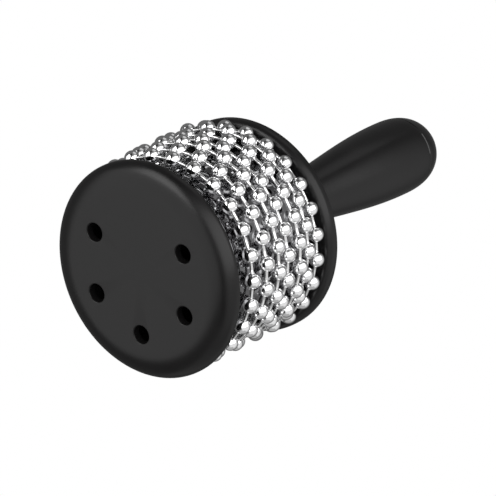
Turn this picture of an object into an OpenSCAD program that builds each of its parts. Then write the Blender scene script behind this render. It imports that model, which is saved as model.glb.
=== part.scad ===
// Mini cabasa: loops of ball chain lie loose round a steel sleeve between two discs, and the
// player twists the handle with one hand while the other holds the chains still.
// The front disc's flat face lies on z = 0, and the handle points up along +Z.

/* [Discs] */
// Diameter of both discs
disc_d = 65; // [64:0.5:80]
// Thickness of the front disc
front_t = 5.3; // [4.8:0.1:9]
// How far the front disc's rounded edge reaches along the axis
front_edge_r = 4.5; // [1:0.1:4.6]
// How far the front disc's rounded edge reaches across its face
front_edge_w = 8; // [2:0.5:10]
// Thickness of the front disc's face between its ribs
face_t = 2.6; // [2:0.1:2.8]
// Thickness of the rear disc
rear_t = 3.8; // [3.4:0.1:6]
// Radius of the rear disc's edge on the side of the beads
rear_edge_r = 2.2; // [0.5:0.1:2.8]
// Bevel that breaks the discs' sharp edges
edge_bevel = 0.3; // [0.1:0.05:0.4]
// How deep the drum and sleeve sit in the front disc
front_seat = 2.4; // [1:0.1:2.8]
// How deep the drum and sleeve sit in the rear disc
rear_seat = 1.6; // [1:0.1:1.8]

/* [Sound holes] */
// Places on the hole circle, one of which stays blank
hole_places = 6; // [4:1:8]
// Diameter of a sound hole
hole_d = 5.5; // [4:0.1:7]
// Diameter of the circle through the sound holes
hole_circle_d = 37.2; // [30:0.1:40]
// Bevel round the mouth of a sound hole
hole_bevel = 0.25; // [0.1:0.05:0.6]
// Direction of the blank place, turned from +X
blank_turn = 103; // [0:1:360]

/* [Ball chains] */
// Diameter of a hollow ball
ball_d = 4.8; // [4:0.1:5.6]
// Wall of a hollow ball
ball_wall = 0.4; // [0.3:0.05:0.5]
// Balls in one closed loop
ball_count = 25; // [22:1:27]
// Diameter of a link pin
pin_d = 1.1; // [0.8:0.05:1.2]
// Diameter of the heads on a link pin
head_d = 1.7; // [1.6:0.05:1.8]
// Diameter of the two holes in a ball
pin_hole_d = 1.4; // [1.3:0.05:1.5]
// Play between a pin's head and the inside of a ball
head_play = 0.1; // [0.05:0.05:0.2]
// Free play that lets a loop lie off centre on the sleeve
loop_slack = 1.64; // [0.4:0.02:2.4]
// Parts of that play by which each loop lies towards +X
lean_x_shares = [0.93, 0.02, -0.48, -0.12, -0.55, -0.06, 0.4];
// Parts of that play by which each loop lies towards +Y
lean_y_shares = [0.12, 0.47, 0.82, 0.7, 0.59, 0.99, 0.39];
// Least play between a ball and the sleeve where the loop lies closest
ride_gap = 0.2; // [0.1:0.05:0.6]
// Free space between the front disc and the first loop
front_gap = 7.8; // [0.2:0.1:10]
// Free spaces between one loop and the next
loop_gaps = [0.1, 0.1, 0.1, 0.1, 0.1, 0.1];
// Free space between the last loop and the rear disc
rear_gap = 0.2; // [0.2:0.05:2]
// How far each loop is turned on the sleeve
loop_turns = [7, 1.2, 9.7, 2.5, 12, 6.6, 12.5];

/* [Drum and sleeve] */
// Outer diameter of the steel sleeve
sleeve_d = 52.5; // [48:0.1:56]
// Thickness of the sleeve's sheet
sleeve_t = 0.6; // [0.4:0.05:1]
// Width of the sleeve's butt seam
seam_w = 0.3; // [0.1:0.05:0.6]
// Wall of the moulded drum
drum_wall = 2.2; // [1.6:0.1:3]
// Outer diameter of the drum's hub
hub_d = 10; // [9:0.1:14]
// Thickness of the drum's webs and the front disc's ribs
web_t = 1.6; // [1.2:0.1:2.4]
// Webs that join the drum's hub to its wall
web_count = 3; // [3:1:6]
// How far the webs stop short of the hub's ends
web_inset = 1; // [0.5:0.1:3]
// Height of the front disc's ribs above its inner face
rib_h = 2.2; // [1:0.1:3]

/* [Handle] */
// Length of the handle from the rear disc to the end cap
handle_len = 76.8; // [70:0.1:100]
// Diameter of the handle's foot on the rear disc
foot_d = 21; // [18:0.5:26]
// Height of the foot's straight rim
foot_rim = 0.6; // [0.3:0.1:2]
// How deep the foot sits in the rear disc
foot_seat = 1.2; // [0.6:0.1:1.6]
// Diameter of the handle's neck
neck_d = 14.4; // [13.2:0.1:16]
// Height of the neck above the rear disc
neck_rise = 10.5; // [6:0.5:16]
// Largest diameter of the handle
belly_d = 23.5; // [21:0.1:28]
// Distance from the handle's widest place to the end cap
belly_drop = 6.2; // [4:0.1:9]
// Length of the rounded end from the widest place to the tip
dome_h = 16.4; // [14:0.1:24]
// Wall of the handle round its cavity
handle_wall = 2.4; // [2:0.1:2.8]
// Height of the bolt's seat above the rear disc
bolt_rise = 22; // [20:0.5:26]

/* [End cap] */
// Length of the cap's spigot in the handle
spigot_len = 8.6; // [6:0.1:12]
// Wall of the cap's spigot
spigot_wall = 1.6; // [1.2:0.1:2.2]
// Thickness of the cap at its tip
cap_t = 2; // [1.5:0.1:3]
// Step of the snap ring behind the handle's seat
snap_step = 0.25; // [0.1:0.05:0.3]
// Height of the snap ring
snap_h = 1.2; // [0.8:0.1:2]
// Bevel on each side of the seam between handle and cap
seam_bevel = 0.3; // [0.1:0.05:0.5]

/* [Bolt and insert] */
// Diameter of the tie bolt
bolt_d = 4; // [3:0.1:4]
// Diameter of the bolt's head
bolt_head_d = 7; // [6:0.1:7.4]
// Height of the bolt's head
bolt_head_h = 4; // [3:0.1:5]
// Size of the hex socket across its flats
socket_af = 3; // [2.5:0.1:3.2]
// Depth of the hex socket
socket_deep = 2.2; // [1.5:0.1:2.4]
// Diameter of the flat washer
washer_d = 9; // [8:0.1:9.2]
// Thickness of the flat washer
washer_t = 0.8; // [0.5:0.1:1.2]
// Diameter of the split lock washer
lock_d = 7.2; // [6.6:0.1:7.6]
// Thickness of the split lock washer
lock_t = 1; // [0.7:0.1:1.4]
// Width of the split in the lock washer
lock_split = 0.8; // [0.4:0.1:1.2]
// Diameter of the brass insert
insert_d = 6.2; // [6:0.1:6.6]
// Length of the brass insert
insert_len = 8; // [6:0.1:9]
// Height of the insert's lower end above the front face
insert_z = 6; // [5.6:0.1:6.4]
// Free space below the insert for the bolt's tip
tip_room = 1; // [0.6:0.1:1.4]
// Depth of the grip grooves round the insert
groove_deep = 0.3; // [0.2:0.05:0.5]
// Width of the grip grooves round the insert
groove_w = 0.8; // [0.5:0.1:1]

/* [Clearances] */
// Play between moulded pieces that plug together
fit_gap = 0.1; // [0.05:0.05:0.2]
// Play between the bolt and the insert's thread, and round the insert
thread_gap = 0.05; // [0.03:0.01:0.1]
// Play between the bolt and the holes that it passes through
bolt_gap = 0.3; // [0.15:0.05:0.4]

/* [Hidden] */

// Circle detail for large and small round shapes
round_fn = 128;
small_fn = 32;
// Steps along an arc of an outline and along the handle's long curve
arc_steps = 10;
curve_steps = 32;
// Overrun of every cut past the face that it opens
over = 0.5;

black = [0.14, 0.14, 0.14];
gloss_black = [0.05, 0.05, 0.05];
steel = [0.82, 0.83, 0.85];
dark_steel = [0.45, 0.46, 0.48];
brass = [0.78, 0.62, 0.3];

disc_r = disc_d / 2;
ball_r = ball_d / 2;
sleeve_r = sleeve_d / 2;
drum_r = sleeve_r - sleeve_t - fit_gap;
drum_bore_r = drum_r - drum_wall;
seat_r = sleeve_r + fit_gap;
// The rounded edges of the discs end short of the walls that they run into
front_round = min(front_edge_r, front_t - 2 * edge_bevel);
rear_round = min(rear_edge_r, disc_r - seat_r - edge_bevel);
hub_r = hub_d / 2;
bolt_r = bolt_d / 2;
bolt_hole_r = bolt_r + bolt_gap;

// The stack along the axis, from the front face to the tip of the cap
function sum_to(list, count) = count <= 0 ? 0 : list[count - 1] + sum_to(list, count - 1);
loop_count = len(loop_gaps) + 1;
chain_len = loop_count * ball_d + sum_to(loop_gaps, loop_count - 1);
rear_z = front_t + front_gap + chain_len + rear_gap;
back_z = rear_z + rear_t;
seam_z = back_z + handle_len;
belly_z = seam_z - belly_drop;
neck_z = back_z + neck_rise;
bolt_seat_z = back_z + bolt_rise;
boss_z = insert_z + insert_len;
function loop_z(k) = front_t + front_gap + ball_r + k * ball_d + sum_to(loop_gaps, k);

// A loop of chain: ball centres on one circle, straight pins along its chords. The circle is wider
// than the sleeve needs, so each loop lies off centre, and turns about its own middle
chain_r = sleeve_r + ride_gap + loop_slack + ball_r;
function loop_middle(k) =
    [loop_slack * lean_x_shares[k], loop_slack * lean_y_shares[k], loop_z(k)];
half_step = 180 / ball_count;
pitch = 2 * chain_r * sin(half_step);
head_reach = ball_r - ball_wall - head_d / 2 - head_play;

// The handle's outline: a flare at the foot, a half cosine wave up to the belly, and a rounded
// end on a superellipse, which the end cap continues
foot_r = foot_d / 2;
neck_r = neck_d / 2;
belly_r = belly_d / 2;
dome_power = 2.7;
function swell_r(z) =
    neck_r + (belly_r - neck_r) * (1 - cos(180 * (z - neck_z) / (belly_z - neck_z))) / 2;
function dome_r(z) =
    belly_r * pow(1 - pow((z - belly_z) / dome_h, dome_power), 1 / dome_power);
function skin_r(z) = z < belly_z ? swell_r(z) : dome_r(z);
flare = [for (i = [0 : arc_steps]) let (a = 90 * i / arc_steps)
    [foot_r - (foot_r - neck_r) * sin(a),
     back_z + foot_rim + (neck_rise - foot_rim) * (1 - cos(a))]];
swell = [for (i = [1 : curve_steps]) let (z = neck_z + (belly_z - neck_z) * i / curve_steps)
    [swell_r(z), z]];
shoulder = [for (i = [1 : arc_steps]) let (z = belly_z + (belly_drop - seam_bevel) * i / arc_steps)
    [dome_r(z), z]];
cavity_top = seam_z - spigot_len;
cavity = [for (i = [0 : curve_steps])
    let (z = cavity_top + (bolt_seat_z - cavity_top) * i / curve_steps)
    [skin_r(z) - handle_wall, z]];
spigot_r = dome_r(seam_z) - handle_wall;

// The quarter round of a disc's edge that faces down, from its flat face out to its side wall
function edge_round(low, across, along) = [for (i = [0 : arc_steps])
    let (a = 90 * i / arc_steps)
    [disc_r - across + across * sin(a), low + along - along * cos(a)]];

// Front disc: face, rounded edge, a seat for the drum and sleeve, and the blind boss of the insert
module front_disc() {
    face = concat(
        [[0, 0]],
        edge_round(0, front_edge_w, front_round),
        [[disc_r, front_t - edge_bevel], [disc_r - edge_bevel, front_t], [seat_r, front_t],
         [seat_r, front_t - front_seat], [drum_bore_r, front_t - front_seat],
         [drum_bore_r, face_t], [hub_r, face_t], [hub_r, boss_z], [0, boss_z]]);
    insert_bore_r = insert_d / 2 + thread_gap;
    color(black) difference() {
        union() {
            rotate_extrude($fn = round_fn) polygon(face);
            for (i = [0 : hole_places - 1])
                rotate([0, 0, blank_turn + (i + 0.5) * 360 / hole_places])
                    translate([hub_r - web_t / 2, -web_t / 2, face_t / 2])
                        cube([drum_bore_r - hub_r + web_t, web_t, face_t / 2 + rib_h]);
        }
        translate([0, 0, front_t - front_seat])
            difference() {
                cylinder(r = seat_r, h = front_t, $fn = round_fn);
                translate([0, 0, -over])
                    cylinder(r = drum_bore_r - fit_gap, h = front_t + 2 * over, $fn = round_fn);
            }
        translate([0, 0, insert_z - tip_room])
            cylinder(r = insert_bore_r, h = insert_len + tip_room + over, $fn = round_fn);
        for (i = [1 : hole_places - 1])
            rotate([0, 0, blank_turn + i * 360 / hole_places])
                translate([hole_circle_d / 2, 0, 0]) sound_hole();
    }
}

module sound_hole() {
    translate([0, 0, -over]) cylinder(d = hole_d, h = face_t + 2 * over, $fn = round_fn);
    translate([0, 0, -over])
        cylinder(r1 = hole_d / 2 + hole_bevel + over, r2 = hole_d / 2, h = hole_bevel + over,
            $fn = round_fn);
}

// Rear disc: a flange with a ring groove for drum and sleeve and a round socket for the handle
module rear_disc() {
    flange = concat(
        [[bolt_hole_r, rear_z], [drum_bore_r - fit_gap, rear_z],
         [drum_bore_r - fit_gap, rear_z + rear_seat], [seat_r, rear_z + rear_seat],
         [seat_r, rear_z]],
        edge_round(rear_z, rear_round, rear_round),
        [[disc_r, back_z - edge_bevel], [disc_r - edge_bevel, back_z],
         [foot_r + fit_gap, back_z], [foot_r + fit_gap, back_z - foot_seat],
         [bolt_hole_r, back_z - foot_seat]]);
    color(black) rotate_extrude($fn = round_fn) polygon(flange);
}

// Drum core: a moulded tube on webs round the hub that the tie bolt runs through
module drum_core() {
    low = front_t - front_seat;
    high = rear_z + rear_seat;
    color(black) difference() {
        union() {
            difference() {
                translate([0, 0, low]) cylinder(r = drum_r, h = high - low, $fn = round_fn);
                translate([0, 0, low - over])
                    cylinder(r = drum_bore_r, h = high - low + 2 * over, $fn = round_fn);
            }
            translate([0, 0, boss_z]) cylinder(r = hub_r, h = rear_z - boss_z, $fn = round_fn);
            for (i = [0 : web_count - 1])
                rotate([0, 0, blank_turn + 180 / hole_places + i * 360 / web_count])
                    translate([hub_r - web_t / 2, -web_t / 2, boss_z + web_inset])
                        cube([drum_bore_r - hub_r + web_t, web_t,
                            rear_z - boss_z - 2 * web_inset]);
        }
        translate([0, 0, low]) cylinder(r = bolt_hole_r, h = high - low, $fn = round_fn);
    }
}

// Steel sleeve: one sheet rolled round the drum, its ends meeting in a butt seam
module steel_sleeve() {
    low = front_t - front_seat;
    high = rear_z + rear_seat;
    color(steel) difference() {
        translate([0, 0, low]) cylinder(r = sleeve_r, h = high - low, $fn = round_fn);
        translate([0, 0, low - over])
            cylinder(r = sleeve_r - sleeve_t, h = high - low + 2 * over, $fn = round_fn);
        rotate([0, 0, blank_turn])
            translate([drum_r - over, -seam_w / 2, low - over])
                cube([sleeve_r - drum_r + 2 * over, seam_w, high - low + 2 * over]);
    }
}

// One hollow ball, pierced along the two chords that leave it
module ball() {
    difference() {
        sphere(r = ball_r, $fn = small_fn);
        sphere(r = ball_r - ball_wall, $fn = small_fn);
        for (side = [1, -1])
            rotate([0, 0, side * half_step]) rotate([-90 * side, 0, 0])
                cylinder(d = pin_hole_d, h = ball_r + over, $fn = small_fn);
    }
}

// One dumbbell pin, whose heads are trapped inside two neighbouring balls
module link_pin() {
    half = pitch / 2 - head_reach;
    rotate([90, 0, 0]) cylinder(d = pin_d, h = 2 * half, center = true, $fn = small_fn);
    for (side = [1, -1])
        translate([0, side * half, 0]) sphere(d = head_d, $fn = small_fn);
}

module bead_loop(k) {
    color(steel) translate(loop_middle(k))
        for (i = [0 : ball_count - 1])
            rotate([0, 0, loop_turns[k] + 2 * half_step * i]) translate([chain_r, 0, 0]) ball();
}

module link_loop(k) {
    color(steel) translate(loop_middle(k))
        for (i = [0 : ball_count - 1])
            rotate([0, 0, loop_turns[k] + 2 * half_step * (i + 0.5)])
                translate([chain_r * cos(half_step), 0, 0]) link_pin();
}

// Handle: one hollow moulding, open at its end, with a solid neck round the bolt
module handle() {
    skin = concat(
        [[bolt_hole_r, back_z - foot_seat], [foot_r, back_z - foot_seat]],
        flare, swell, shoulder,
        [[dome_r(seam_z) - seam_bevel, seam_z], [spigot_r, seam_z], [spigot_r, cavity_top]],
        cavity,
        [[bolt_hole_r, bolt_seat_z]]);
    color(black) rotate_extrude($fn = round_fn) polygon(skin);
}

// End cap: a gloss dome that carries on the handle's curve, with a snap-in spigot
module end_cap() {
    plug_r = spigot_r - fit_gap;
    bore_r = plug_r - spigot_wall;
    tip_z = belly_z + dome_h;
    foot_z = cavity_top - snap_h;
    start = asin(pow((belly_drop + seam_bevel) / dome_h, dome_power / 2));
    dome = [for (i = [0 : 2 * arc_steps]) let (a = start + (90 - start) * i / (2 * arc_steps))
        [belly_r * pow(max(0, cos(a)), 2 / dome_power),
         belly_z + dome_h * pow(sin(a), 2 / dome_power)]];
    bore_h = (tip_z - cap_t - seam_z) / 2;
    hollow = [for (i = [0 : arc_steps]) let (a = 90 - 90 * i / arc_steps)
        [bore_r * cos(a), seam_z + bore_h + bore_h * sin(a)]];
    color(gloss_black) rotate_extrude($fn = round_fn) polygon(concat(
        [[dome_r(seam_z) - seam_bevel, seam_z]], dome, hollow,
        [[bore_r, foot_z], [plug_r, foot_z], [plug_r + snap_step, foot_z + snap_h / 2],
         [plug_r, cavity_top], [plug_r, seam_z]]));
}

// Tie bolt: its head pulls the handle down, and its tip screws into the front disc's insert
module tie_bolt() {
    head_z = bolt_seat_z + washer_t + lock_t;
    color(dark_steel) difference() {
        union() {
            translate([0, 0, insert_z]) cylinder(r = bolt_r, h = head_z - insert_z, $fn = small_fn);
            translate([0, 0, head_z]) cylinder(d = bolt_head_d, h = bolt_head_h, $fn = round_fn);
        }
        translate([0, 0, head_z + bolt_head_h - socket_deep])
            cylinder(r = socket_af / 2 / cos(30), h = socket_deep + over, $fn = 6);
    }
}

module bolt_washer() {
    color(steel) difference() {
        translate([0, 0, bolt_seat_z]) cylinder(d = washer_d, h = washer_t, $fn = round_fn);
        translate([0, 0, bolt_seat_z - over])
            cylinder(r = bolt_hole_r, h = washer_t + 2 * over, $fn = small_fn);
    }
}

module lock_washer() {
    low = bolt_seat_z + washer_t;
    color(dark_steel) difference() {
        translate([0, 0, low]) cylinder(d = lock_d, h = lock_t, $fn = round_fn);
        translate([0, 0, low - over])
            cylinder(r = bolt_hole_r, h = lock_t + 2 * over, $fn = small_fn);
        translate([0, -lock_split / 2, low - over])
            cube([lock_d, lock_split, lock_t + 2 * over]);
    }
}

// Threaded insert: brass, moulded into the boss, with two grip grooves round it
module threaded_insert() {
    insert_r = insert_d / 2;
    color(brass) difference() {
        translate([0, 0, insert_z]) cylinder(r = insert_r, h = insert_len, $fn = round_fn);
        translate([0, 0, insert_z - over])
            cylinder(r = bolt_r + thread_gap, h = insert_len + 2 * over, $fn = small_fn);
        for (i = [1, 2])
            translate([0, 0, insert_z + i * insert_len / 3 - groove_w / 2])
                difference() {
                    cylinder(r = insert_r + over, h = groove_w, $fn = round_fn);
                    translate([0, 0, -over])
                        cylinder(r = insert_r - groove_deep, h = groove_w + 2 * over, $fn = round_fn);
                }
    }
}

front_disc();
rear_disc();
drum_core();
steel_sleeve();
bead_loop(0);  // bead_loop_a
bead_loop(1);  // bead_loop_b
bead_loop(2);  // bead_loop_c
bead_loop(3);  // bead_loop_d
bead_loop(4);  // bead_loop_e
bead_loop(5);  // bead_loop_f
bead_loop(6);  // bead_loop_g
link_loop(0);  // link_loop_a
link_loop(1);  // link_loop_b
link_loop(2);  // link_loop_c
link_loop(3);  // link_loop_d
link_loop(4);  // link_loop_e
link_loop(5);  // link_loop_f
link_loop(6);  // link_loop_g
handle();
end_cap();
tie_bolt();
bolt_washer();
lock_washer();
threaded_insert();
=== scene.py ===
import math

import bmesh
import bpy
from mathutils import Matrix, Vector


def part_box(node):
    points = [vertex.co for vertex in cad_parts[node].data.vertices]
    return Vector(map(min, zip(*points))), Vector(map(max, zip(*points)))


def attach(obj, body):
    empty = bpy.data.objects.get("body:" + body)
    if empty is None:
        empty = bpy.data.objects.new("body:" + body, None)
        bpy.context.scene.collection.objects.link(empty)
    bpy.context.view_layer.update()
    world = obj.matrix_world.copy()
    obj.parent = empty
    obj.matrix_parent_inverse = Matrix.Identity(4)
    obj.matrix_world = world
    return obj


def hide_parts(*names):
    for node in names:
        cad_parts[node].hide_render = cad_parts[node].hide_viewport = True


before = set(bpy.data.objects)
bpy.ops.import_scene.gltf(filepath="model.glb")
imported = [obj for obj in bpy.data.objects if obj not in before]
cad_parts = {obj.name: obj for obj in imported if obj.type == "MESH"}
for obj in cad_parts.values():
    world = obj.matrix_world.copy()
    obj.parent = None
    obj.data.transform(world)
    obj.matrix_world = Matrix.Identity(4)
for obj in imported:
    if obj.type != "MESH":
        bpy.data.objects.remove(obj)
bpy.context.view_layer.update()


# Threaded insert: a turned brass nut with two grip grooves, moulded into the boss of the front
# disc before anything else is fitted. The tie bolt ends in it.

def new_finish(name):
    """A new material: itself, its nodes, its links and its Principled shader."""
    finish = bpy.data.materials.new(name)
    finish.use_nodes = True
    nodes = finish.node_tree.nodes
    return finish, nodes, finish.node_tree.links, nodes["Principled BSDF"]


def new_effect(name, sizes, masks):
    """A shader node group for an effect that several finishes share."""
    effect = bpy.data.node_groups.new(name, "ShaderNodeTree")
    for label, value in sizes.items():
        effect.interface.new_socket(name=label, in_out="INPUT",
                                    socket_type="NodeSocketFloat").default_value = value
    for label in masks:
        effect.interface.new_socket(name=label, in_out="OUTPUT", socket_type="NodeSocketFloat")
    return effect, effect.nodes.new("NodeGroupInput"), effect.nodes.new("NodeGroupOutput")


def place_effect(nodes, effect, **sizes):
    """Puts a shared effect into a finish, with the finish's own sizes."""
    placed = nodes.new("ShaderNodeGroup")
    placed.node_tree = effect
    for label, value in sizes.items():
        placed.inputs[label.replace("_", " ")].default_value = value
    return placed


def put(tree, kind, feeds=None, **options):
    """Adds a node, sets its options, and feeds each input a value or another node's socket."""
    node = tree.nodes.new(kind)
    for option, value in options.items():
        setattr(node, option, value)
    for label, value in (feeds or {}).items():
        if isinstance(value, bpy.types.NodeSocket):
            tree.links.new(value, node.inputs[label])
        else:
            node.inputs[label].default_value = value
    return node


def maths(tree, operation, first, second=0.0):
    """One step of arithmetic in a shader or Geometry Nodes tree, as its result."""
    return put(tree, "ShaderNodeMath", {0: first, 1: second}, operation=operation).outputs[0]


def fade(tree, value, low, high, start=0.0, end=1.0):
    """Takes a value between low and high to the range from start to end."""
    return put(tree, "ShaderNodeMapRange", {"Value": value, "From Min": low, "From Max": high,
                                            "To Min": start, "To Max": end}).outputs["Result"]


def blend_colour(tree, mask, first, second):
    """A colour that goes from the first to the second as the mask goes from 0 to 1."""
    node = put(tree, "ShaderNodeMix", {"Factor": mask}, data_type="RGBA")
    node.inputs["A"].default_value = (*first, 1)
    node.inputs["B"].default_value = (*second, 1)
    return node.outputs["Result"]


metal_marks, sizes, masks = new_effect(
    "metal_marks", {"Scratch Size": 0.0006, "Cloud Size": 0.004},
    ["Scratches", "Clouds", "Specks"])
place = put(metal_marks, "ShaderNodeTexCoord").outputs["Object"]
per_scratch = maths(metal_marks, "DIVIDE", 1.0, sizes.outputs["Scratch Size"])
per_cloud = maths(metal_marks, "DIVIDE", 1.0, sizes.outputs["Cloud Size"])
drawn_out = put(metal_marks, "ShaderNodeMapping", {
    "Vector": place, "Rotation": (0.5, 0.3, 0.9), "Scale": (1, 0.12, 0.4)})
scratches = put(metal_marks, "ShaderNodeTexNoise", {
    "Vector": drawn_out.outputs[0], "Scale": per_scratch, "Detail": 2.0})
clouds = put(metal_marks, "ShaderNodeTexNoise", {
    "Vector": place, "Scale": per_cloud, "Detail": 3.0})
specks = put(metal_marks, "ShaderNodeTexVoronoi", {"Vector": place, "Scale": per_scratch})
metal_marks.links.new(scratches.outputs["Fac"], masks.inputs["Scratches"])
metal_marks.links.new(clouds.outputs["Fac"], masks.inputs["Clouds"])
metal_marks.links.new(
    fade(metal_marks, specks.outputs["Distance"], low=0.05, high=0.2, start=1.0, end=0.0),
    masks.inputs["Specks"])


def metal_finish(name, bright, dull, smooth, rough, scratch_size):
    """Bare metal: clouds in its colour, and scratches and specks in its gloss."""
    finish, nodes, links, shader = new_finish(name)
    tree = finish.node_tree
    marks = place_effect(nodes, metal_marks, Scratch_Size=scratch_size, Cloud_Size=0.004)
    shader.inputs["Metallic"].default_value = 1.0
    links.new(blend_colour(tree, marks.outputs["Clouds"], bright, dull),
              shader.inputs["Base Color"])
    speck_share = 0.4
    wear = maths(tree, "MULTIPLY", marks.outputs["Scratches"], marks.outputs["Clouds"])
    wear = maths(tree, "MAXIMUM", wear,
                 maths(tree, "MULTIPLY", marks.outputs["Specks"], speck_share))
    links.new(fade(tree, wear, 0.0, 1.0, smooth, rough), shader.inputs["Roughness"])
    return finish


def refinish(node, finish):
    """Gives a node of the solid model that is kept as it is a finish of its own."""
    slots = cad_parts[node].data.materials
    slots.clear()
    slots.append(finish)


refinish("threaded_insert", metal_finish(
    "turned_brass", bright=(0.8, 0.6, 0.27), dull=(0.6, 0.4, 0.16), smooth=0.2, rough=0.5,
    scratch_size=0.0004))


# Front disc: one black moulding with a flat satin face, a broad rounded edge, five sound holes
# on one circle and a blank place. Behind the face it has ribs, the boss of the insert, and the
# seat that the drum and its sleeve are pressed into.

mm = 0.001
disc_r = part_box("front_disc")[1].x
boss_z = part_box("front_disc")[1].z
sleeve_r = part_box("steel_sleeve")[1].y
front_seat = 2.4 * mm
front_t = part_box("steel_sleeve")[0].z + front_seat
edge_along = 4.5 * mm
edge_across = 8.0 * mm
face_t = 2.6 * mm
edge_bevel = 0.3 * mm
face_margin = 0.5 * mm
disc_sides = 160
sleeve_t = 0.6 * mm
fit_gap = 0.1 * mm
drum_wall = 2.2 * mm
drum_bore_r = sleeve_r - sleeve_t - fit_gap - drum_wall
hub_r = 5.0 * mm
thread_gap = 0.05 * mm
insert_bore_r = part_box("threaded_insert")[1].x + thread_gap
insert_floor_gap = 1.0 * mm
insert_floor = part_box("threaded_insert")[0].z - insert_floor_gap
hole_places = 6
hole_d = 5.5 * mm
hole_circle_r = 18.6 * mm
hole_round = 0.35 * mm
blank_turn = math.radians(103)
rib_t = 1.6 * mm
rib_h = 2.2 * mm


def arc(centre_r, centre_z, radius, start, end, steps):
    """Points along a round of an outline between two turns in degrees, as radius and height."""
    turns = [math.radians(start + (end - start) * i / steps) for i in range(steps + 1)]
    return [(centre_r + radius * math.cos(t), centre_z + radius * math.sin(t)) for t in turns]


def edge_round(low, across, along, steps):
    """The rounded edge of a disc that faces down, from its flat face out to its side wall."""
    turns = [math.pi / 2 * i / steps for i in range(steps + 1)]
    return [(disc_r - across + across * math.sin(t), low + along - along * math.cos(t))
            for t in turns]


def turned(name, outline, sides):
    """Turns a closed outline round the Z axis. A point on the axis becomes one pole."""
    mesh = bmesh.new()
    rings = []
    on_axis = 1e-7
    for r, z in outline:
        if r < on_axis:
            rings.append([mesh.verts.new((0, 0, z))] * sides)
        else:
            rings.append([mesh.verts.new((r * math.cos(t), r * math.sin(t), z))
                          for t in (2 * math.pi * i / sides for i in range(sides))])
    for low, high in zip(rings, rings[1:] + rings[:1]):
        for i in range(sides):
            j = (i + 1) % sides
            corners = list(dict.fromkeys((low[i], low[j], high[j], high[i])))
            if len(corners) > 2:
                mesh.faces.new(corners)
    bmesh.ops.recalc_face_normals(mesh, faces=mesh.faces)
    piece = bpy.data.objects.new(name, bpy.data.meshes.new(name))
    mesh.to_mesh(piece.data)
    mesh.free()
    bpy.context.scene.collection.objects.link(piece)
    return piece


def new_rule(name, inputs):
    """A Geometry Nodes tree with named inputs, and its two end nodes."""
    kinds = {"number": "NodeSocketFloat", "count": "NodeSocketInt",
             "pattern": "NodeSocketObject", "finish": "NodeSocketMaterial"}
    rule = bpy.data.node_groups.new(name, "GeometryNodeTree")
    rule.interface.new_socket(name="Piece", in_out="INPUT", socket_type="NodeSocketGeometry")
    for kind, labels in inputs.items():
        for label in labels:
            rule.interface.new_socket(name=label, in_out="INPUT", socket_type=kinds[kind])
    rule.interface.new_socket(name="Piece", in_out="OUTPUT", socket_type="NodeSocketGeometry")
    return rule, rule.nodes.new("NodeGroupInput").outputs, rule.nodes.new("NodeGroupOutput")


def vector(rule, x=0.0, y=0.0, z=0.0):
    """A vector of three numbers or sockets in a Geometry Nodes tree."""
    return put(rule, "ShaderNodeCombineXYZ", {"X": x, "Y": y, "Z": z}).outputs[0]


def real_mesh(rule, geometry):
    """Turns instances into mesh in a Geometry Nodes tree."""
    return put(rule, "GeometryNodeRealizeInstances", {"Geometry": geometry}).outputs[0]


def end_rule(rule, ends, geometry, finish):
    """Closes a tree as each one ends here: real mesh in one finish."""
    dressed = put(rule, "GeometryNodeSetMaterial", {
        "Geometry": real_mesh(rule, geometry), "Material": finish})
    rule.links.new(dressed.outputs[0], ends.inputs[0])


def follow_rule(piece, rule, **values):
    """Runs a tree on a piece and keeps the result as the piece's own plain mesh."""
    modifier = piece.modifiers.new(rule.name, "NODES")
    modifier.node_group = rule
    sockets = {item.name: item.identifier for item in rule.interface.items_tree
               if item.item_type == "SOCKET" and item.in_out == "INPUT"}
    for label, value in values.items():
        modifier[sockets[label.replace("_", " ")]] = value
    bpy.context.view_layer.update()
    seen = piece.evaluated_get(bpy.context.evaluated_depsgraph_get())
    made = bpy.data.meshes.new_from_object(seen)
    piece.modifiers.clear()
    piece.data = made
    made.name = piece.name
    return piece


def shade_round(piece, sharp_above):
    """Shades a finished mesh smooth, up to the edges sharper than an angle in degrees."""
    piece.data.shade_smooth()
    piece.data.set_sharp_from_angle(angle=math.radians(sharp_above))


moulding_marks, sizes, masks = new_effect(
    "moulding_marks", {"Grain Size": 0.0002, "Flow Size": 0.02}, ["Grain", "Flow", "Dust"])
place = put(moulding_marks, "ShaderNodeTexCoord").outputs["Object"]
grain = put(moulding_marks, "ShaderNodeTexNoise", {
    "Vector": place, "Detail": 2.0,
    "Scale": maths(moulding_marks, "DIVIDE", 1.0, sizes.outputs["Grain Size"])})
flow = put(moulding_marks, "ShaderNodeTexNoise", {
    "Vector": place, "Detail": 3.0, "Distortion": 0.6,
    "Scale": maths(moulding_marks, "DIVIDE", 1.0, sizes.outputs["Flow Size"])})
dust_per_metre = 380.0
dust = put(moulding_marks, "ShaderNodeTexVoronoi", {"Vector": place, "Scale": dust_per_metre})
moulding_marks.links.new(grain.outputs["Fac"], masks.inputs["Grain"])
moulding_marks.links.new(flow.outputs["Fac"], masks.inputs["Flow"])
moulding_marks.links.new(
    fade(moulding_marks, dust.outputs["Distance"], low=0.03, high=0.08, start=1.0, end=0.0),
    masks.inputs["Dust"])

black_deep = (0.0032, 0.0030, 0.0031)
black_pale = (0.0065, 0.0061, 0.0063)


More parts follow.
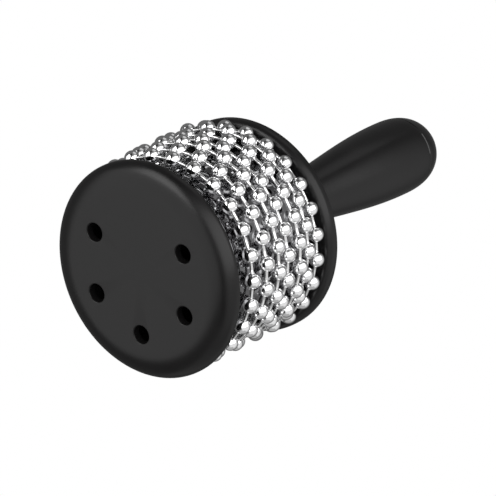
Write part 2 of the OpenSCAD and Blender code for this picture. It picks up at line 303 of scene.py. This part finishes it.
def plastic_finish(name, smooth, rough, shine, grain_depth, grain_size=0.00022):
    """Black moulded plastic: fine grain, faint flow marks in its gloss, and a trace of dust."""
    finish, nodes, links, shader = new_finish(name)
    tree = finish.node_tree
    marks = place_effect(nodes, moulding_marks, Grain_Size=grain_size, Flow_Size=0.018)
    dust_share = 0.5
    shade = maths(tree, "ADD", marks.outputs["Flow"],
                  maths(tree, "MULTIPLY", marks.outputs["Dust"], dust_share))
    links.new(blend_colour(tree, shade, black_deep, black_pale), shader.inputs["Base Color"])
    links.new(fade(tree, marks.outputs["Flow"], 0.0, 1.0, smooth, rough),
              shader.inputs["Roughness"])
    shader.inputs["Specular IOR Level"].default_value = shine
    bump = put(tree, "ShaderNodeBump", {"Height": marks.outputs["Grain"], "Distance": grain_depth})
    links.new(bump.outputs["Normal"], shader.inputs["Normal"])
    return finish


satin_black = plastic_finish(
    "satin_black_plastic", smooth=0.26, rough=0.34, shine=0.3, grain_depth=0.000003)

front = turned("front_disc_moulding", (
    [(0, 0), (disc_r - edge_across - face_margin, 0)]
    + edge_round(0, edge_across, edge_along, 24)
    + arc(disc_r - edge_bevel, front_t - edge_bevel, edge_bevel, 0, 90, 5)
    + [(sleeve_r + fit_gap, front_t), (sleeve_r + fit_gap, front_t - front_seat),
       (drum_bore_r, front_t - front_seat), (drum_bore_r, face_t), (hub_r, face_t),
       (hub_r, boss_z), (insert_bore_r, boss_z), (insert_bore_r, insert_floor),
       (0, insert_floor)]), sides=disc_sides)
mouth_r = hole_d / 2 + hole_round
cut_over = 1 * mm
cut_lip = 0.02 * mm
hole_pattern = turned("sound_hole_pattern", (
    [(0, -2 * cut_over), (mouth_r + cut_over, -2 * cut_over), (mouth_r + cut_over, -cut_lip),
     (mouth_r, -cut_lip)]
    + arc(mouth_r, hole_round, hole_round, -90, -180, 6)
    + [(hole_d / 2, face_t + cut_over), (0, face_t + cut_over)]), sides=64)

pierced, of, ends = new_rule("sound_holes_and_ribs", {
    "count": ["Places"], "pattern": ["Hole"], "finish": ["Finish"],
    "number": ["Hole Circle", "Blank Turn", "Face", "Rib Start", "Rib Length", "Rib Width",
               "Rib Height"]})
step = maths(pierced, "DIVIDE", 2 * math.pi, of["Places"])
number = put(pierced, "GeometryNodeInputIndex").outputs[0]
hole_turn = maths(pierced, "ADD", of["Blank Turn"],
                  maths(pierced, "MULTIPLY", step, maths(pierced, "ADD", number, 1.0)))
hole_points = put(pierced, "GeometryNodePoints", {
    "Count": maths(pierced, "SUBTRACT", of["Places"], 1.0),
    "Position": vector(
        pierced,
        maths(pierced, "MULTIPLY", of["Hole Circle"], maths(pierced, "COSINE", hole_turn)),
        maths(pierced, "MULTIPLY", of["Hole Circle"], maths(pierced, "SINE", hole_turn)))})
hole_shape = put(pierced, "GeometryNodeObjectInfo", {"Object": of["Hole"]})
all_holes = put(pierced, "GeometryNodeInstanceOnPoints", {
    "Points": hole_points.outputs[0], "Instance": hole_shape.outputs["Geometry"]})
rib = put(pierced, "GeometryNodeMeshCube", {
    "Size": vector(pierced, of["Rib Length"], of["Rib Width"], of["Rib Height"])})
rib = put(pierced, "GeometryNodeTransform", {
    "Geometry": rib.outputs["Mesh"],
    "Translation": vector(
        pierced,
        maths(pierced, "ADD", of["Rib Start"], maths(pierced, "DIVIDE", of["Rib Length"], 2.0)),
        0.0,
        maths(pierced, "ADD", of["Face"], maths(pierced, "DIVIDE", of["Rib Height"], 2.0)))})
all_ribs = put(pierced, "GeometryNodeInstanceOnPoints", {
    "Points": put(pierced, "GeometryNodePoints", {"Count": of["Places"]}).outputs[0],
    "Instance": rib.outputs[0],
    "Rotation": vector(pierced, z=maths(
        pierced, "ADD", of["Blank Turn"],
        maths(pierced, "MULTIPLY", step, maths(pierced, "ADD", number, 0.5))))})
joined = put(pierced, "GeometryNodeMeshBoolean", operation="UNION", solver="EXACT")
pierced.links.new(of["Piece"], joined.inputs["Mesh 2"])
pierced.links.new(real_mesh(pierced, all_ribs.outputs[0]), joined.inputs["Mesh 2"])
cut = put(pierced, "GeometryNodeMeshBoolean", {"Mesh 1": joined.outputs["Mesh"]},
          operation="DIFFERENCE", solver="EXACT")
pierced.links.new(real_mesh(pierced, all_holes.outputs[0]), cut.inputs["Mesh 2"])
end_rule(pierced, ends, cut.outputs["Mesh"], of["Finish"])

follow_rule(front, pierced, Places=hole_places, Hole=hole_pattern, Finish=satin_black,
            Hole_Circle=hole_circle_r, Blank_Turn=blank_turn, Face=face_t / 2,
            Rib_Start=hub_r - rib_t / 2, Rib_Length=drum_bore_r - hub_r + rib_t,
            Rib_Width=rib_t, Rib_Height=face_t / 2 + rib_h)
bpy.data.objects.remove(hole_pattern)
shade_round(front, sharp_above=19)
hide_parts("front_disc")
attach(front, "instrument_body")


# Drum core: the moulded tube under the sleeve, on webs round a hub that the tie bolt runs
# through. It is shut in between the discs, so the solid model's piece stays.

refinish("drum_core", plastic_finish(
    "inner_black_plastic", smooth=0.5, rough=0.62, shine=0.3, grain_depth=0.000006,
    grain_size=0.0004))


# Steel sleeve: one thin sheet of polished stainless steel, embossed all over, rolled round the
# drum core until its ends meet in a butt seam. Its edges sit in the two discs.

sleeve_low, sleeve_high = (corner.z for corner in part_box("steel_sleeve"))
seam_w = 0.3 * mm

rolled, of, ends = new_rule("embossed_sheet", {
    "number": ["Radius", "Low", "High", "Seam Turn", "Seam Width", "Thickness", "Emboss Depth",
               "Emboss Size", "Seed"],
    "count": ["Columns", "Rows"], "finish": ["Finish"]})
sheet = put(rolled, "GeometryNodeMeshGrid", {
    "Size X": 1.0, "Size Y": 1.0, "Vertices X": of["Columns"], "Vertices Y": of["Rows"]})
flat = put(rolled, "ShaderNodeSeparateXYZ", {
    "Vector": put(rolled, "GeometryNodeInputPosition").outputs[0]}).outputs
sweep = maths(rolled, "SUBTRACT", 2 * math.pi,
              maths(rolled, "DIVIDE", of["Seam Width"], of["Radius"]))
turn = maths(rolled, "ADD", maths(rolled, "ADD", of["Seam Turn"], math.pi),
             maths(rolled, "MULTIPLY", flat["X"], sweep))
level = maths(rolled, "ADD", of["Low"], maths(
    rolled, "MULTIPLY", maths(rolled, "ADD", flat["Y"], 0.5),
    maths(rolled, "SUBTRACT", of["High"], of["Low"])))
around, along = maths(rolled, "COSINE", turn), maths(rolled, "SINE", turn)
place = vector(rolled, maths(rolled, "MULTIPLY", of["Radius"], around),
               maths(rolled, "MULTIPLY", of["Radius"], along), level)
per_cell = maths(rolled, "DIVIDE", 1.0, of["Emboss Size"])
cells = put(rolled, "ShaderNodeTexVoronoi", {
    "Vector": place, "W": of["Seed"], "Scale": per_cell, "Smoothness": 0.35},
    voronoi_dimensions="4D", feature="SMOOTH_F1")
folds = put(rolled, "ShaderNodeTexNoise", {
    "Vector": place, "W": of["Seed"], "Scale": per_cell, "Detail": 1.0}, noise_dimensions="4D")
fold_steepness = 2.6
relief = maths(rolled, "MULTIPLY", cells.outputs["Distance"], folds.outputs[0])
relief = maths(rolled, "MINIMUM", maths(rolled, "MULTIPLY", relief, fold_steepness), 1.0)
skin = maths(rolled, "SUBTRACT", of["Radius"],
             maths(rolled, "MULTIPLY", of["Emboss Depth"], relief))
outside = put(rolled, "GeometryNodeSetPosition", {
    "Geometry": sheet.outputs["Mesh"],
    "Position": vector(rolled, maths(rolled, "MULTIPLY", skin, around),
                       maths(rolled, "MULTIPLY", skin, along), level)}).outputs[0]
turned_in = put(rolled, "GeometryNodeExtrudeMesh", {
    "Mesh": put(rolled, "GeometryNodeFlipFaces", {"Mesh": outside}).outputs[0],
    "Offset Scale": of["Thickness"], "Individual": False})
where = put(rolled, "ShaderNodeSeparateXYZ", {
    "Vector": put(rolled, "GeometryNodeInputPosition").outputs[0]}).outputs
reach = maths(rolled, "SQRT", maths(
    rolled, "ADD", maths(rolled, "MULTIPLY", where["X"], where["X"]),
    maths(rolled, "MULTIPLY", where["Y"], where["Y"])))
shrink = maths(rolled, "DIVIDE", maths(rolled, "SUBTRACT", of["Radius"], of["Thickness"]), reach)
inside = put(rolled, "GeometryNodeSetPosition", {
    "Geometry": turned_in.outputs["Mesh"], "Selection": turned_in.outputs["Top"],
    "Position": vector(rolled, maths(rolled, "MULTIPLY", where["X"], shrink),
                       maths(rolled, "MULTIPLY", where["Y"], shrink), where["Z"])}).outputs[0]
both = put(rolled, "GeometryNodeJoinGeometry")
rolled.links.new(outside, both.inputs[0])
rolled.links.new(inside, both.inputs[0])
weld = 0.000001
closed = put(rolled, "GeometryNodeMergeByDistance", {
    "Geometry": both.outputs[0], "Distance": weld})
end_rule(rolled, ends, closed.outputs[0], of["Finish"])


def new_piece(name):
    """A piece whose mesh is still empty."""
    piece = bpy.data.objects.new(name, bpy.data.meshes.new(name))
    bpy.context.scene.collection.objects.link(piece)
    return piece


sleeve = follow_rule(
    new_piece("embossed_sleeve"), rolled, Radius=sleeve_r, Low=sleeve_low, High=sleeve_high,
    Seam_Turn=blank_turn, Seam_Width=seam_w, Thickness=sleeve_t, Emboss_Depth=0.02 * mm,
    Emboss_Size=4.5 * mm, Seed=4.0, Columns=380, Rows=84,
    Finish=metal_finish(
        "embossed_stainless", bright=(0.25, 0.25, 0.255), dull=(0.18, 0.18, 0.185),
        smooth=0.04, rough=0.12, scratch_size=0.0004))
shade_round(sleeve, sharp_above=50)
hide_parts("steel_sleeve")
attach(sleeve, "instrument_body")


# Rear disc: a black moulded flange, well rounded on the side of the beads and crisp at the back.
# A ring groove takes the drum and sleeve, and a round socket takes the handle's foot.

rear_seat = 1.6 * mm
rear_t = 3.8 * mm
rear_z = sleeve_high - rear_seat
back_z = rear_z + rear_t
rear_edge_r = 2.2 * mm
rear_margin = 0.3 * mm
foot_r = 10.5 * mm
foot_seat = 1.2 * mm
bolt_hole_r = 2.3 * mm
groove_r = drum_bore_r - fit_gap

rear = turned("rear_disc_moulding", (
    [(bolt_hole_r, rear_z), (groove_r, rear_z), (groove_r, sleeve_high),
     (sleeve_r + fit_gap, sleeve_high), (sleeve_r + fit_gap, rear_z),
     (disc_r - rear_edge_r - rear_margin, rear_z)]
    + edge_round(rear_z, rear_edge_r, rear_edge_r, 16)
    + arc(disc_r - edge_bevel, back_z - edge_bevel, edge_bevel, 0, 90, 5)
    + [(foot_r + fit_gap, back_z), (foot_r + fit_gap, back_z - foot_seat),
       (bolt_hole_r, back_z - foot_seat)]), sides=disc_sides)
rear.data.materials.append(satin_black)
shade_round(rear, sharp_above=30)
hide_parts("rear_disc")
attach(rear, "instrument_body")


# Ball chains: seven closed loops of hollow steel balls lie loose round the sleeve, each a little
# off centre, and turn on it. Each ball is rolled from a strip and pierced twice, and dumbbell
# pins, whose heads are caught inside the balls, link it to its neighbours along the loop's chords.

ball_count = 25
ball_r = 2.4 * mm
ball_wall = 0.4 * mm
pin_hole_r = 0.7 * mm
pin_r = 0.55 * mm
head_r = 0.85 * mm
head_play = 0.1 * mm
half_step = math.pi / ball_count
ride_gap = 0.2 * mm
slack = 1.64 * mm
chain_r = sleeve_r + ride_gap + slack + ball_r

# How each loop lies: its turn in degrees, and its lean along X and Y as shares of the slack.
loop_lies = dict(a=(7, 0.93, 0.12), b=(1.2, 0.02, 0.47), c=(9.7, -0.48, 0.82), d=(2.5, -0.12, 0.7),
                 e=(12, -0.55, 0.59), f=(6.6, -0.06, 0.99), g=(12.5, 0.4, 0.39))

ball_steel = metal_finish(
    "polished_ball_steel", bright=(0.95, 0.95, 0.955), dull=(0.88, 0.88, 0.885),
    smooth=0.03, rough=0.12, scratch_size=0.0005)
pin_steel = metal_finish(
    "drawn_pin_steel", bright=(0.9, 0.9, 0.9), dull=(0.78, 0.78, 0.78),
    smooth=0.08, rough=0.3, scratch_size=0.0002)

hole_angle = math.degrees(math.asin(pin_hole_r / ball_r))
bore_angle = math.degrees(math.asin(pin_hole_r / (ball_r - ball_wall)))
rim_turn = 1.2
ball_pattern = turned("ball_pattern", (
    arc(0, 0, ball_r, hole_angle - 90 + rim_turn, 90 - rim_turn - hole_angle, 12)
    + arc(0, 0, ball_r - ball_wall, 90 - bore_angle, bore_angle - 90, 7)), sides=24)
shade_round(ball_pattern, sharp_above=40)
pin_half = chain_r * math.sin(half_step) - (ball_r - ball_wall - head_r - head_play)
neck_angle = math.degrees(math.asin(pin_r / head_r))
pin_pattern = turned("pin_pattern", (
    [(0, -pin_half - head_r)] + arc(0, -pin_half, head_r, -60, 90 - neck_angle, 4)
    + arc(0, pin_half, head_r, neck_angle - 90, 60, 4) + [(0, pin_half + head_r)]), sides=12)
shade_round(pin_pattern, sharp_above=50)

chain, of, ends = new_rule("loop_of_chain", {
    "count": ["Balls"], "pattern": ["Link"], "finish": ["Finish"],
    "number": ["Radius", "Middle X", "Middle Y", "Level", "First Turn", "Bend", "Link Reach"]})
link = put(chain, "GeometryNodeObjectInfo", {"Object": of["Link"]})
laid = put(chain, "GeometryNodeTransform", {
    "Geometry": link.outputs["Geometry"], "Rotation": (-math.pi / 2, 0, 0)})
spot = put(chain, "GeometryNodeInputPosition").outputs[0]
off_middle = maths(
    chain, "DIVIDE", put(chain, "ShaderNodeSeparateXYZ", {"Vector": spot}).outputs["Y"],
    of["Link Reach"])
bent = put(chain, "GeometryNodeSetPosition", {
    "Geometry": laid.outputs[0],
    "Position": put(chain, "ShaderNodeVectorRotate", {
        "Vector": spot, "Angle": maths(chain, "MULTIPLY", off_middle, of["Bend"])},
        rotation_type="Z_AXIS").outputs[0]})
number = put(chain, "GeometryNodeInputIndex").outputs[0]
turn = maths(chain, "ADD", of["First Turn"], maths(
    chain, "MULTIPLY", number, maths(chain, "DIVIDE", 2 * math.pi, of["Balls"])))
circle = put(chain, "GeometryNodePoints", {
    "Count": of["Balls"],
    "Position": vector(
        chain,
        maths(chain, "ADD", of["Middle X"],
              maths(chain, "MULTIPLY", of["Radius"], maths(chain, "COSINE", turn))),
        maths(chain, "ADD", of["Middle Y"],
              maths(chain, "MULTIPLY", of["Radius"], maths(chain, "SINE", turn))),
        of["Level"])})
strung = put(chain, "GeometryNodeInstanceOnPoints", {
    "Points": circle.outputs[0], "Instance": bent.outputs[0], "Rotation": vector(chain, z=turn)})
end_rule(chain, ends, strung.outputs[0], of["Finish"])

for loop, (first_turn, lean_x, lean_y) in loop_lies.items():
    first = math.radians(first_turn)
    level = sum(corner.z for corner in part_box("bead_loop_" + loop)) / 2
    middle_x, middle_y = slack * lean_x, slack * lean_y
    balls = follow_rule(
        new_piece("balls_" + loop), chain, Balls=ball_count, Link=ball_pattern, Radius=chain_r,
        Middle_X=middle_x, Middle_Y=middle_y, Level=level, First_Turn=first, Bend=half_step,
        Link_Reach=ball_r, Finish=ball_steel)
    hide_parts("bead_loop_" + loop)
    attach(balls, "chain_" + loop)
    pins = follow_rule(
        new_piece("pins_" + loop), chain, Balls=ball_count, Link=pin_pattern,
        Radius=chain_r * math.cos(half_step), Middle_X=middle_x, Middle_Y=middle_y, Level=level,
        First_Turn=first + half_step, Bend=0.0, Link_Reach=pin_half, Finish=pin_steel)
    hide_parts("link_loop_" + loop)
    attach(pins, "chain_" + loop)
bpy.data.objects.remove(ball_pattern)
bpy.data.objects.remove(pin_pattern)


# Handle: one hollow black moulding with a flared foot, a slim neck and a long swell to its
# belly. The bolt pulls its foot into the rear disc, and its open end is rounded in to the cap.

neck_r = 7.2 * mm
flare_h = 10.5 * mm
neck_z = back_z + flare_h
foot_rim = 0.6 * mm
belly_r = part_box("handle")[1].x
seam_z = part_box("handle")[1].z
belly_below_seam = 6.2 * mm
belly_z = seam_z - belly_below_seam
tip_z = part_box("end_cap")[1].z
dome_h = tip_z - belly_z
dome_power = 2.7
handle_wall = 2.4 * mm
seam_bevel = 0.3 * mm
snap_h = 1.2 * mm
cavity_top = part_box("end_cap")[0].z + snap_h
bolt_seat_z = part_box("bolt_washer")[0].z


def swell_r(z):
    """Radius of the handle between its neck and its belly."""
    along = (z - neck_z) / (belly_z - neck_z)
    return neck_r + (belly_r - neck_r) * (1 - math.cos(math.pi * along)) / 2


def dome_r(z):
    """Radius of the rounded end, from the belly on."""
    return belly_r * (1 - ((z - belly_z) / dome_h) ** dome_power) ** (1 / dome_power)


def levels(low, high, steps):
    """Evenly spaced heights or turns, both ends included."""
    return [low + (high - low) * i / steps for i in range(steps + 1)]


flare = [(foot_r - (foot_r - neck_r) * math.sin(t),
          back_z + foot_rim + (neck_z - back_z - foot_rim) * (1 - math.cos(t)))
         for t in levels(0, math.pi / 2, 16)]
spigot_r = dome_r(seam_z) - handle_wall
seam_r = dome_r(seam_z) - seam_bevel
grip = turned("handle_moulding", (
    [(bolt_hole_r, back_z - foot_seat), (foot_r, back_z - foot_seat)] + flare
    + [(swell_r(z), z) for z in levels(neck_z, belly_z, 48)[1:]]
    + [(dome_r(z), z) for z in levels(belly_z, seam_z - seam_bevel, 12)[1:]]
    + arc(seam_r, seam_z - seam_bevel, seam_bevel, 30, 90, 3)
    + [(spigot_r, seam_z), (spigot_r, cavity_top)]
    + [((swell_r(z) if z < belly_z else dome_r(z)) - handle_wall, z)
       for z in levels(cavity_top, bolt_seat_z, 24)]
    + [(bolt_hole_r, bolt_seat_z)]), sides=128)
grip.data.materials.append(plastic_finish(
    "handle_black_plastic", smooth=0.22, rough=0.3, shine=0.35, grain_depth=0.000003))
shade_round(grip, sharp_above=32)
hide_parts("handle")
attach(grip, "instrument_body")


# Tie bolt and its washers: blackened and plain steel, dropped into the handle's open end. The
# bolt runs through handle, rear disc and hub into the brass insert and clamps them all.

refinish("bolt_washer", metal_finish(
    "plated_washer_steel", bright=(0.78, 0.79, 0.8), dull=(0.62, 0.63, 0.64), smooth=0.2,
    rough=0.4, scratch_size=0.0003))
dark_steel = metal_finish(
    "blackened_bolt_steel", bright=(0.06, 0.06, 0.065), dull=(0.03, 0.03, 0.032), smooth=0.3,
    rough=0.5, scratch_size=0.0003)
refinish("tie_bolt", dark_steel)
refinish("lock_washer", dark_steel)


# End cap: a gloss black moulding that carries on the handle's curve and closes it. Its spigot
# snaps in behind a ring, and a fine groove stays between the two.

plug_r = spigot_r - fit_gap
plug_wall = 1.6 * mm
cap_bore_r = plug_r - plug_wall
cap_t = 2.0 * mm
snap_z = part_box("end_cap")[0].z
snap_step = 0.25 * mm
dome_start = math.asin(((seam_z + seam_bevel - belly_z) / dome_h) ** (dome_power / 2))
hollow_h = (tip_z - cap_t - seam_z) / 2

cap = turned("end_cap_moulding", (
    [(seam_r, seam_z)]
    + [(belly_r * math.cos(t) ** (2 / dome_power),
        belly_z + dome_h * math.sin(t) ** (2 / dome_power))
       for t in levels(dome_start, math.pi / 2, 40)[:-1]]
    + [(0, tip_z), (0, tip_z - cap_t)]
    + [(cap_bore_r * math.cos(t), seam_z + hollow_h * (1 + math.sin(t)))
       for t in levels(math.pi / 2, 0, 12)[1:]]
    + [(cap_bore_r, snap_z), (plug_r, snap_z), (plug_r + snap_step, (snap_z + cavity_top) / 2),
       (plug_r, cavity_top), (plug_r, seam_z)]), sides=128)
cap.data.materials.append(plastic_finish(
    "gloss_black_plastic", smooth=0.05, rough=0.1, shine=0.5, grain_depth=0.0000005))
shade_round(cap, sharp_above=32)
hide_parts("end_cap")
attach(cap, "instrument_body")


# Camera: a long lens that looks up at the face from its left, rolled over on its side.

middle = Vector((-1.944, -6.1, 46.454)) * mm
camera_at = Vector((-743.014, 230.088, -808.676)) * mm
to_right = Vector((-0.767128, -0.19911, 0.609812))
to_top = Vector((-0.022696, 0.95844, 0.284391))
to_camera = Vector((-0.641093, 0.204324, -0.739765))
lens = bpy.data.cameras.new("camera")
lens.lens = 285.994
lens.sensor_width = 36
lens.clip_end = 20
camera = bpy.data.objects.new("camera", lens)
bpy.context.scene.collection.objects.link(camera)
camera.matrix_world = (Matrix.Translation(camera_at)
                       @ Matrix((to_right, to_top, to_camera)).transposed().to_4x4())
bpy.context.scene.camera = camera


# Studio: three soft boxes round the camera, a white room, and a pale floor seen from above only.
# A grey room, a dark flag and two pale cards, above and below, are there in reflections alone:
# the black plastic and the polished balls show them as soft bands and fine lines.

def aim(right, top, near):
    """A direction from the object, as the camera sees it: to the right, up and nearer."""
    return (to_right * right + to_top * top + to_camera * near).normalized()


def soft_box(name, direction, distance, width, height, radiance, roll=0.0):
    """A rectangular lamp that faces the object and that the camera doesn't see."""
    lamp = bpy.data.lights.new(name, "AREA")
    lamp.shape = "RECTANGLE"
    lamp.size, lamp.size_y = width, height
    lamp.energy = radiance * math.pi * width * height
    box = bpy.data.objects.new(name, lamp)
    bpy.context.scene.collection.objects.link(box)
    up = (to_top - direction * to_top.dot(direction)).normalized()
    side = up.cross(direction)
    box.matrix_world = (Matrix.Translation(middle + direction * distance)
                        @ Matrix((side, up, direction)).transposed().to_4x4()
                        @ Matrix.Rotation(roll, 4, "Z"))
    box.visible_camera = False


soft_box("left_soft_box", aim(-0.90, -0.08, 0.43), distance=1.0, width=1.25, height=1.3,
         radiance=1.06)
soft_box("upper_left_soft_box", aim(-0.64, 0.46, 0.61), distance=0.9, width=0.75, height=0.42,
         radiance=3.4, roll=math.radians(-35))
soft_box("right_soft_box", aim(0.50, 0.17, 0.85), distance=1.0, width=2.3, height=1.0,
         radiance=1.7, roll=math.radians(20))


def only_in_reflections(thing):
    """Lets the gloss of the object show a thing of the studio that nothing else sees."""
    thing.visible_camera = thing.visible_diffuse = thing.visible_shadow = False


def reflected_strip(name, path, tone):
    """A curved strip through directions, each with its half width in degrees."""
    strip_distance = 0.7
    mesh = bmesh.new()
    rows = []
    for i, (direction, half) in enumerate(path):
        ahead = path[min(i + 1, len(path) - 1)][0] - path[max(i - 1, 0)][0]
        side = direction.cross(ahead).normalized()
        rows.append([mesh.verts.new(middle + strip_distance * (
            direction * math.cos(math.radians(half) * s)
            + side * math.sin(math.radians(half) * s))) for s in (-1, 0, 1)])
    for low, high in zip(rows, rows[1:]):
        for i in range(2):
            mesh.faces.new((low[i], low[i + 1], high[i + 1], high[i]))
    strip = new_piece(name)
    mesh.to_mesh(strip.data)
    mesh.free()
    finish, nodes, links, _ = new_finish(name)
    glow = nodes.new("ShaderNodeEmission")
    glow.inputs["Color"].default_value = (tone, tone, tone, 1)
    links.new(glow.outputs[0], nodes["Material Output"].inputs["Surface"])
    strip.data.materials.append(finish)
    only_in_reflections(strip)


reflected_strip("dark_flag", [
    (aim(-0.15, 0.93, 0.32), 8), (aim(-0.33, 0.60, 0.72), 7), (aim(-0.43, 0.00, 0.90), 7),
    (aim(-0.38, -0.45, 0.80), 7), (aim(-0.30, -0.80, 0.50), 8)], tone=0.02)
reflected_strip("high_pale_card", [
    (aim(0.53, 0.85, 0.05), 17), (aim(0.29, 0.96, 0.00), 17), (aim(0.05, 1.00, -0.05), 17)],
    tone=0.6)
reflected_strip("low_pale_card", [
    (aim(-0.45, -0.88, -0.1), 25), (aim(0.00, -0.99, -0.1), 25), (aim(0.50, -0.86, -0.1), 25)],
    tone=0.42)

room_size = 1.7
dark_tone, pale_tone = 0.14, 0.8
mesh = bmesh.new()
bmesh.ops.create_uvsphere(mesh, u_segments=32, v_segments=16, radius=room_size)
bmesh.ops.translate(mesh, verts=mesh.verts, vec=middle)
room = new_piece("grey_room")
mesh.to_mesh(room.data)
mesh.free()
finish, nodes, links, _ = new_finish("grey_room")
tree = finish.node_tree
towards_right = put(tree, "ShaderNodeVectorMath", {
    0: put(tree, "ShaderNodeTexCoord").outputs["Object"], 1: aim(0.70, -0.36, 0.62)},
    operation="DOT_PRODUCT")
glow = put(tree, "ShaderNodeEmission", {"Strength": fade(
    tree, towards_right.outputs["Value"], low=0.08 * room_size, high=0.75 * room_size,
    start=dark_tone, end=pale_tone)})
links.new(glow.outputs[0], nodes["Material Output"].inputs["Surface"])
room.data.materials.append(finish)
only_in_reflections(room)

floor = new_piece("floor")
floor_half = 3.0
floor_drop = 0.3 * mm
floor.data.from_pydata(
    [(-floor_half, -floor_half, -floor_drop), (floor_half, -floor_half, -floor_drop),
     (floor_half, floor_half, -floor_drop), (-floor_half, floor_half, -floor_drop)],
    [], [(0, 1, 2, 3)])
finish, nodes, links, shader = new_finish("pale_floor")
shader.inputs["Base Color"].default_value = (0.9, 0.9, 0.9, 1)
shader.inputs["Roughness"].default_value = 0.8
seen = nodes.new("ShaderNodeMixShader")
links.new(nodes.new("ShaderNodeNewGeometry").outputs["Backfacing"], seen.inputs[0])
links.new(shader.outputs[0], seen.inputs[1])
links.new(nodes.new("ShaderNodeBsdfTransparent").outputs[0], seen.inputs[2])
links.new(seen.outputs[0], nodes["Material Output"].inputs["Surface"])
floor.data.materials.append(finish)
floor.visible_diffuse = floor.visible_glossy = floor.visible_shadow = False

even_light = 0.6
world = bpy.data.worlds.new("white_room")
bpy.context.scene.world = world
world.use_nodes = True
air, sky = world.node_tree, world.node_tree.nodes["Background"]
rays = put(air, "ShaderNodeLightPath").outputs
plain = maths(air, "MAXIMUM", rays["Is Camera Ray"],
              maths(air, "MAXIMUM", rays["Is Glossy Ray"], rays["Is Transmission Ray"]))
air.links.new(fade(air, plain, low=0.0, high=1.0, start=even_light, end=1.0),
              sky.inputs["Strength"])
sky.inputs["Color"].default_value = (1, 1, 1, 1)
bpy.context.scene.view_settings.view_transform = "Standard"
